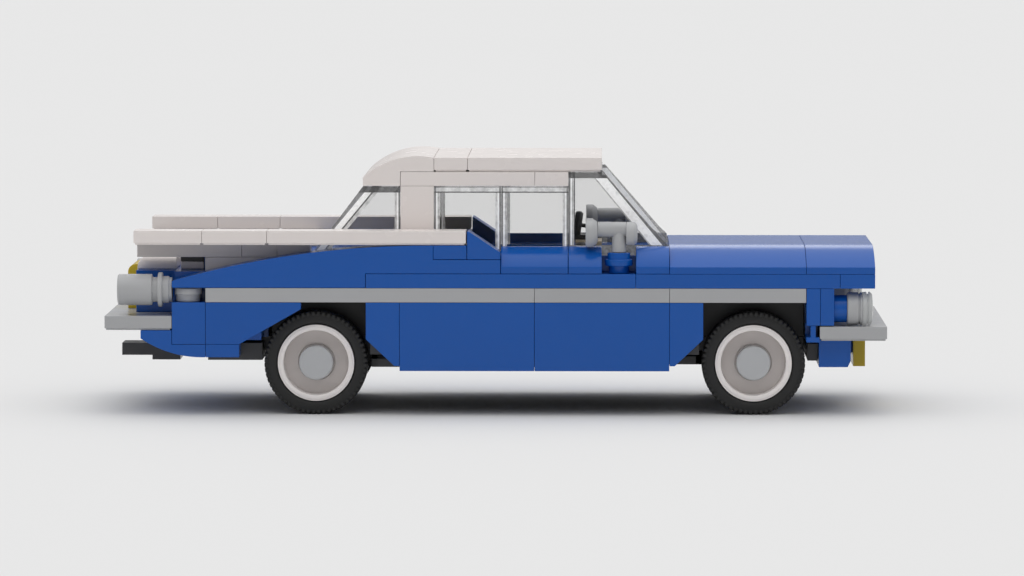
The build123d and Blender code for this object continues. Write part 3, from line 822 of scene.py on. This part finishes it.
@dataclass
class RoadWheels:
    """Lugged tyre, dished rim and round cap at the four corners.

    Stations run inwards from the tyre's outer face.
    """

    corners: tuple[str, ...] = ("front_right", "front_left", "rear_right", "rear_left")
    lug_rows: int = 60
    lug: Size = (0.1, 0.95, 2.8)
    shoulder_lug: Size = (0.9, 0.7, 0.06)
    seat_play: float = 0.1
    lug_sink: float = 0.01
    wall_profile: Profile = ((0, 0.5), (0.4, 0.12), (1.1, 0.0))
    crown_profile: Profile = ((-0.5, 0.3), (0, 0.8))
    tread_start: float = 0.5
    shoulder_drop: float = 0.15
    opening: float = 7.75
    lip: float = 0.2
    bead: tuple[float, float] = (0.45, 0.12)
    cap_edge: Profile = ((0.45, 0.0), (0.2, 0.06), (0.0, 0.3))
    dish: float = 4.0
    groove: tuple[float, float] = (4.4, 0.45)
    web: float = 1.2
    boss: float = 3.0
    bore: float = 1.6
    ribs: int = 6
    rib: tuple[float, float] = (0.9, 0.6)

    def tyre(self, name: str, body: str, place: Vector, axis: Vector, size: Vector, inner: float) -> None:
        """Make a tyre with two staggered rows of lugs.

        Args:
            name: Name of the CAD node.
            body: Body that it turns with.
            place: Middle of its outer face.
            axis: Direction of growing stations.
            size: Lengths of the node's box.
            inner: Radius of its seat on the rim.
        """
        mould = Mould(name + "_lugged", Finish.TYRE, body, 0.08)
        outer, width = size.z / 2, size.y
        depth, _, length = self.lug
        tread = outer - depth
        half = (tuple((inner + rise, station) for rise, station in self.wall_profile)
                + tuple((tread + rise, station) for rise, station in self.crown_profile))
        back = tuple((radius, width - station) for radius, station in reversed(half))
        mould.turned(half + back, place, axis, 96)
        step = 360 / self.lug_rows
        radius = outer - depth / 2 - self.lug_sink
        first = self.tread_start + length / 2
        for turn, station in ((0.0, first), (0.5, width - first)):
            mould.ring_of_slabs(self.lug, (radius, turn * step, station), place, axis, self.lug_rows)
        depth, _, length = self.shoulder_lug
        radius = outer - self.shoulder_drop - depth / 2
        for turn, station in ((0.0, length), (0.5, width - length)):
            mould.ring_of_slabs(self.shoulder_lug, (radius, turn * step, station), place, axis,
                                self.lug_rows)
        mould.piece(name)

    def rim(self, name: str, body: str, place: Vector, axis: Vector, size: Vector) -> None:
        """Make a rim: beaded mouth, dish, and a ribbed back round the bore.

        Args:
            name: Name of the CAD node.
            body: Body that it turns with.
            place: Middle of the tyre's outer face.
            axis: Direction of growing stations.
            size: Lengths of the node's box.
        """
        outer, width = size.z / 2, size.y
        back = self.dish + self.web
        # The ring takes the rim's white brightened as painted highlight.
        ring = Mould(name + "_ring", Finish.WHITEWALL, body, 0.1)
        groove, seat = self.groove[0], self.dish + self.groove[1]
        mouth, hollow = self.opening, self.opening - self.seat_play
        inset, sink = self.bead
        ring.turned(((hollow, self.dish - self.seat_play), (mouth, self.lip), (mouth + self.lip, 0),
                     (outer - inset, 0), (outer - inset + 0.05, sink), (outer, sink), (outer, width),
                     (mouth, width), (hollow, back)), place, axis, 96)
        ring.piece(name)
        # The dish takes the rim's white darkened as painted shade.
        dish = Mould(name + "_dish", Finish.DISH, body, 0.1)
        dish.turned(((0, seat), (groove, seat), (groove, self.dish), (hollow, self.dish), (hollow, back),
                     (self.boss, back), (self.boss, width), (self.bore, width), (self.bore, seat + 0.05),
                     (0, seat + 0.05)), place, axis, 96)
        thick, short = self.rib
        rib = (self.opening - self.boss, thick, width - back - short)
        centre = ((self.opening + self.boss) / 2, 0, back + rib[2] / 2)
        dish.ring_of_slabs(rib, centre, place, axis, self.ribs)
        dish.piece(name)

    def hub_cap(self, name: str, body: str, place: Vector, axis: Vector, box: Extent) -> None:
        """Make the round cap, with a soft edge.

        Args:
            name: Name of the CAD node.
            body: Body that it turns with.
            place: Middle of the tyre's outer face.
            axis: Direction of growing stations.
            box: The node's box.
        """
        mould = Mould(name + "_turned", Finish.CAP, body, 0.05)
        outer = box.size.z / 2
        face = (box.middle - place).dot(axis) - box.size.y / 2
        seat = max(face + box.size.y, self.dish + self.groove[1])
        edge = tuple((outer - inset, face + sink) for inset, sink in self.cap_edge)
        mould.turned(((0, face), *edge, (outer, seat), (0, seat)), place, axis)
        mould.piece(name)

    def build(self) -> None:
        """Make the pieces of each wheel on its own body."""
        for corner in self.corners:
            tyre, rim = solids("tyre_" + corner)[0], solids("rim_" + corner)[0]
            axis = -tyre.side * Y_AXIS
            place = tyre.middle - axis * tyre.size.y / 2
            body = "wheel_" + corner
            seat = rim.size.z / 2 + self.seat_play
            self.tyre("tyre_" + corner, body, place, axis, tyre.size, seat)
            self.rim("rim_" + corner, body, place, axis, rim.size)
            self.hub_cap("hub_cap_" + corner, body, place, axis, solids("hub_cap_" + corner)[0])


@dataclass
class Lamps:
    """Headlamps with their lenses, tail lamps, and the round bricks at the tail's corners."""

    tail_profile: Profile = ((0, 0), (2.9, 0), (2.9, 0.65), (3.2, 0.7), (3.2, 2.2), (4.0, 2.25), (4.1, 2.5),
                             (4.1, 3.1), (4.0, 3.3), (2.95, 3.35), (2.95, 4.5), (3.4, 4.7), (3.7, 4.8))
    cup: tuple[float, float] = (2.4, 1.2)
    collar_profile: Profile = ((0, 0), (2.85, 0), (2.85, 1.6), (3.26, 1.7), (3.26, 3.1), (3.1, 3.2), (0, 3.2))

    rim: float = 0.3
    lens_groove: float = 0.45

    def tail_lamps(self) -> None:
        """Make both tail lamps, hollow at their rear ends."""
        mould = Mould("tail_lamps_turned", Finish.LIGHT_GREY, easing=0.07)
        for box in solids("tail_lamps"):
            length, radius = box.size.x, self.tail_profile[-1][0]
            bowl, depth = self.cup
            end = ((radius, length - self.rim), (radius - self.rim, length), (bowl, length),
                   (bowl, length - depth), (0, length - depth))
            mould.turned(self.tail_profile + end, Vector((box.high.x, *box.middle.yz)), -X_AXIS)
        mould.piece("tail_lamps")

    def collars(self) -> None:
        """Make the stepped round bricks at the tail's corners."""
        mould = Mould("corner_rounds_turned", Finish.LIGHT_GREY, easing=0.07)
        for box in solids("corner_rounds"):
            mould.turned(self.collar_profile, Vector((*box.middle.xy, box.low.z)), Z_AXIS)
        mould.piece("corner_rounds")

    def headlamps(self) -> None:
        """Make the blue backs, the grey rings and the clear lenses."""
        for node, finish in (("headlamp_backs", Finish.BLUE), ("headlamp_rings", Finish.LIGHT_GREY),
                             ("headlamp_lenses", Finish.LENS)):
            mould = Mould(node + "_turned", finish, easing=0.08)
            for box in solids(node):
                length, radius = box.size.x, box.size.z / 2
                waist, neck = radius - self.rim, radius - self.lens_groove
                profiles = {
                    "headlamp_backs": ((0, 0), (radius, 0), (radius, length), (0, length)),
                    "headlamp_rings": ((0, 0), (waist, 0), (radius, self.rim), (radius, length - 1.0),
                                       (waist, length - 0.9), (waist, length - 0.6), (radius, length - 0.5),
                                       (radius, length), (0, length)),
                    "headlamp_lenses": ((0, 0), (radius, 0), (radius, 0.9), (neck, 1.0), (neck, 1.3),
                                        (radius, 1.4), (radius, length - 0.7), (radius - 0.5, length - 0.2),
                                        (radius / 2, length), (0, length)),
                }
                mould.turned(profiles[node], Vector((box.low.x, *box.middle.yz)), X_AXIS)
            mould.piece(node)

    def build(self) -> None:
        """Make all the lamps."""
        self.tail_lamps()
        self.collars()
        self.headlamps()


@dataclass
class Mirrors:
    """Tap-shaped door mirrors on round blue bases."""

    knob: tuple[float, float, float] = (2.7, 2.75, 1.0)
    arm: tuple[float, float, float] = (6.7, 1.75, 0.0)
    disc: tuple[float, float, float] = (2.9, 3.45, 0.8)
    stem: tuple[float, float] = (4.4, 1.55)
    bevel: float = 0.2
    base_profile: Profile = ((0, 0), (2.35, 0), (2.35, 1.7), (3.2, 1.75), (3.3, 1.9), (3.3, 3.1), (3.2, 3.25),
                             (2.7, 3.3), (2.7, 4.7), (2.55, 4.85), (0, 4.85))

    def build(self) -> None:
        """Make the grey arms and the blue bases on both sides."""
        arms = Mould("mirrors_turned", Finish.LIGHT_GREY, easing=0.05)
        bevel = self.bevel
        for box in solids("mirrors"):
            axis_z = box.high.z - self.disc[1] + self.disc[2]
            at_y = box.middle.y
            back, front = box.low.x, box.high.x
            length, radius, drop = self.disc
            arms.turned(((0, 0), (radius - bevel, 0), (radius, bevel), (radius, length - 1.3),
                         (radius - 0.8, length - bevel), (radius - 1.6, length), (0, length)),
                        Vector((back, at_y, axis_z - drop)), X_AXIS)
            length, radius, drop = self.knob
            arms.turned(((0, 0), (radius - bevel, 0), (radius, bevel), (radius, length - 0.9),
                         (radius - 0.4, length - bevel), (radius - 1.0, length), (0, length)),
                        Vector((front - length, at_y, axis_z - drop)), X_AXIS)
            length, radius, drop = self.arm
            arms.turned(((0, 0), (radius, 0), (radius, length), (0, length)),
                        Vector((front - self.knob[0] - length, at_y, axis_z - drop)), X_AXIS, 48)
            behind, radius = self.stem
            height = axis_z - box.low.z
            arms.turned(((0, 0), (radius + bevel, 0), (radius, height), (0, height)),
                        Vector((front - behind, at_y, box.low.z)), Z_AXIS, 48)
        arms.piece("mirrors")
        bases = Mould("mirror_bases_turned", Finish.BLUE, easing=0.06)
        for box in solids("mirror_bases"):
            bases.turned(self.base_profile, Vector((*box.middle.xy, box.low.z)), Z_AXIS)
        bases.piece("mirror_bases")


@dataclass
class Interior:
    """Benches, the studded stand and the steering wheel."""

    wheel_radius: float = 2.75
    wheel_tube: float = 0.62
    wheel_tilt: float = 8.0
    spokes: int = 3
    wheel_flatness: float = 1.55
    spoke: tuple[float, float] = (0.9, 0.7)
    column: Profile = ((0, -3.8), (0.5, -3.8), (0.5, -0.6), (0.9, -0.5), (0.9, 0.5), (0, 0.6))
    bench_stud: tuple[float, float] = (2.4, 2.0)
    dash_stud: tuple[float, float] = (2.5, 2.35)
    stud_rows: tuple[float, ...] = (-12.0, -4.0, 4.0, 12.0)
    stand_step: float = 1.75
    foot: tuple[float, float, float] = (3.8, 2.0, 1.2)

    def build(self) -> None:
        """Make benches, stand and steering wheel."""
        benches = Mould("seats_studded", Finish.TAN)
        benches.take(merged("seats"))
        for box in solids("seats"):
            inset, radius = self.bench_stud
            for row in self.stud_rows:
                benches.stud(Vector((box.high.x - inset, row, box.low.z + 1.5 * PLATE)), radius)
        benches.piece("seats")
        base = merged("steering_stand")
        box = solids("steering_stand")[0]
        step = box.high.z - self.stand_step
        dash = Mould("dashboard", Finish.DARK_GREY)
        dash.slab(box.low, Vector((*box.high.xy, step)))
        inset, radius = self.dash_stud
        for row in self.stud_rows[:2]:
            dash.stud(Vector((box.low.x + inset, row, step)), radius)
        dash.piece("steering_stand")
        bmesh.ops.bisect_plane(base, geom=[*base.verts, *base.edges, *base.faces], dist=CUT_SLACK * MM,
                               plane_co=Vector((0, 0, step + 0.01)) * MM, plane_no=Z_AXIS, clear_inner=True)
        stand = Mould("steering_stand_top", Finish.TAN)
        stand.take(base)
        stand.piece("steering_stand")
        self.steering_wheel()

    def steering_wheel(self) -> None:
        """Make the tilted ring with its spokes, hub and foot."""
        mould = Mould("steering_wheel_turned", Finish.BLACK, easing=0.05)
        box = solids("steering_wheel")[0]
        radius = self.wheel_radius
        height = radius + self.wheel_tube
        tilt = math.radians(self.wheel_tilt)
        axis = Vector((-math.cos(tilt), 0, math.sin(tilt)))
        place = Vector((box.low.x + 1.5, box.middle.y, box.high.z - height - 0.1))
        tube = tuple((radius + self.wheel_tube * math.cos(turn * FULL_TURN / 12),
                      self.wheel_flatness * self.wheel_tube * math.sin(turn * FULL_TURN / 12))
                     for turn in range(12))
        mould.turned(tube, place, axis, 48, 0)
        mould.ring_of_slabs((radius, *self.spoke), (radius / 2, 90, 0), place, axis, self.spokes)
        mould.turned(self.column, place, axis, 32)
        length, half, thick = self.foot
        mould.slab(Vector((box.low.x, box.middle.y - half, box.low.z)),
                   Vector((box.low.x + length, box.middle.y + half, box.low.z + thick)))
        mould.piece("steering_wheel")


@dataclass
class Underside:
    """Hollow floor plate with the tubes that grip studs."""

    wall: float = 1.5
    tube_outer: float = 3.25
    tube_inner: float = 2.4
    front_tab: float = 8.0
    rear_tab: float = 1.0

    def tray(self, mould: Mould, low: Vector, high: Vector) -> None:
        """Add a plate's top sheet and its four walls.

        Args:
            mould: The piece that takes them.
            low: Lowest corner.
            high: Highest corner.
        """
        mould.slab(Vector((low.x, low.y, high.z - self.wall)), high)
        for y in (low.y, high.y - self.wall):
            mould.slab(Vector((low.x, y, low.z)), Vector((high.x, y + self.wall, high.z)))
        for x in (low.x, high.x - self.wall):
            mould.slab(Vector((x, low.y, low.z)), Vector((x + self.wall, high.y, high.z)))

    def build(self) -> None:
        """Make the floor's trays and tubes."""
        mould = Mould("floor_plate_hollow", Finish.DARK_GREY, easing=0.1)
        box = solids("floor_plate")[0]
        main_low = Vector((box.low.x + self.rear_tab, box.low.y, box.low.z))
        main_high = Vector((box.high.x - self.front_tab, box.high.y, box.high.z))
        self.tray(mould, main_low, main_high)
        self.tray(mould, Vector((main_high.x, box.low.y + STUD, box.low.z)),
                  Vector((box.high.x, box.high.y - STUD, box.high.z)))
        ring = ((self.tube_inner, 0), (self.tube_outer, 0), (self.tube_outer, PLATE - self.wall),
                (self.tube_inner, PLATE - self.wall))
        rows = range(int(box.size.y // STUD) - 1)
        for column in range(int((main_high.x - main_low.x) // STUD)):
            for row in rows:
                place = Vector((main_high.x - STUD * (column + 1), box.low.y + STUD * (row + 1), box.low.z))
                mould.turned(ring, place, Z_AXIS, 24, 0)
        mould.piece("floor_plate")


# ------------------------------------------------------------------ studio
@dataclass
class Studio:
    """Pale floor, soft light and the camera."""

    floor_reach: float = 12.0
    floor_colour: Colour = (0.745, 0.745, 0.745)
    horizon: float = 0.15
    zenith: float = 2.0
    backdrop: float = 0.8
    gleam: float = 0.30
    sheen: float = 0.55
    strip_strength: float = 0.06
    strip_angle: float = 14.0
    strip_from: tuple[float, float, float] = (0.0, 1.0, 0.36)
    camera_place: tuple[float, float, float] = (15.5, -1362.0, 128.6)
    camera_aim: tuple[float, float, float] = (-5.3, -32.0, 30.5)
    focal_pixels: float = 5634.0
    frame_pixels: float = 1024.0

    def lay_floor(self) -> None:
        """Lay one wide matt floor."""
        mesh = bmesh.new()
        bmesh.ops.create_grid(mesh, x_segments=1, y_segments=1, size=self.floor_reach)
        data = bpy.data.meshes.new("floor")
        mesh.to_mesh(data)
        mesh.free()
        floor = bpy.data.objects.new("floor", data)
        bpy.context.scene.collection.objects.link(floor)
        material = bpy.data.materials.new("studio paper")
        material.use_nodes = True
        graph = Graph(material.node_tree)
        place = graph.node("ShaderNodeTexCoord").outputs["Object"]
        cloud = graph.noise(place, 3.0, 2.0)
        shader = graph.node("ShaderNodeBsdfPrincipled", {}, {
            "Base Color": graph.mix(cloud, shaded(self.floor_colour, 0.995), self.floor_colour),
            "Roughness": 0.9,
            "Specular IOR Level": 0.0,
        })
        graph.node("ShaderNodeOutputMaterial", {}, {"Surface": shader.outputs[0]})
        data.materials.append(material)
        floor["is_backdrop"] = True

    def hang_lights(self) -> None:
        """Set up a soft sky that is brightest overhead, and a weak strip light behind the car."""
        world = bpy.data.worlds.new("studio sky")
        bpy.context.scene.world = world
        world.use_nodes = True
        graph = Graph(world.node_tree)
        away = graph.node("ShaderNodeTexCoord").outputs["Generated"]
        height = Wire(graph, graph.node("ShaderNodeSeparateXYZ", {}, {0: away}).outputs["Z"])
        rise = graph.node("ShaderNodeMath", {"operation": "MAXIMUM"}, {0: height, 1: 0.0})
        dome = self.horizon + (self.zenith - self.horizon) * Wire(graph, rise.outputs[0]) ** 2.0
        rays = graph.node("ShaderNodeLightPath")
        seen = Wire(graph, rays.outputs["Is Camera Ray"]) + Wire(graph, rays.outputs["Is Transmission Ray"])
        strength = (dome + seen * (self.backdrop - dome)
                    + Wire(graph, rays.outputs["Is Glossy Ray"]) * (self.gleam - dome * (1 - self.sheen)))
        sky = graph.node("ShaderNodeBackground", {}, {"Color": (1, 1, 1, 1), "Strength": strength})
        graph.node("ShaderNodeOutputWorld", {}, {"Surface": sky.outputs[0]})
        lamp = bpy.data.lights.new("strip", "SUN")
        lamp.energy = self.strip_strength
        lamp.angle = math.radians(self.strip_angle)
        strip = bpy.data.objects.new("strip", lamp)
        strip.rotation_euler = Vector(self.strip_from).to_track_quat("Z", "Y").to_euler()
        bpy.context.scene.collection.objects.link(strip)

    def set_camera(self) -> None:
        """Set a long lens nearly square to the car's side."""
        shift = Vector((CAR_SHIFT, 0, 0))
        place = (Vector(self.camera_place) + shift) * MM
        aim = (Vector(self.camera_aim) + shift) * MM
        data = bpy.data.cameras.new("camera")
        data.sensor_fit = "HORIZONTAL"
        data.sensor_width = 36.0
        data.lens = self.focal_pixels * data.sensor_width / self.frame_pixels
        data.clip_start, data.clip_end = 0.05, 60.0
        camera = bpy.data.objects.new("camera", data)
        camera.location = place
        camera.rotation_euler = (aim - place).to_track_quat("-Z", "Y").to_euler()
        bpy.context.scene.collection.objects.link(camera)
        bpy.context.scene.camera = camera

    def build(self) -> None:
        """Set up floor, light and camera."""
        self.lay_floor()
        self.hang_lights()
        self.set_camera()
        bpy.context.scene.view_settings.view_transform = "Standard"


# ------------------------------------------------------------------ the whole car
def clear_scene() -> None:
    """Remove what Blender starts with."""
    for thing in list(bpy.data.objects):
        bpy.data.objects.remove(thing)


def corners(box: tuple[Vector, Vector]) -> list[list[float]]:
    """Two corners as plain lists."""
    return [list(corner) for corner in box]


def main() -> None:
    """Build the car's looks around the frame, piece by piece."""
    logging.basicConfig(level=logging.INFO, format="%(message)s")
    clear_scene()
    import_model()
    for assembly in (Bodywork(), Trunk(), Glasshouse(), RoadWheels(), Lamps(), Mirrors(), Interior(),
                     Underside(), Studio()):
        assembly.build()
        LOG.info("built %s", type(assembly).__name__)


if __name__ == "__main__":
    main()
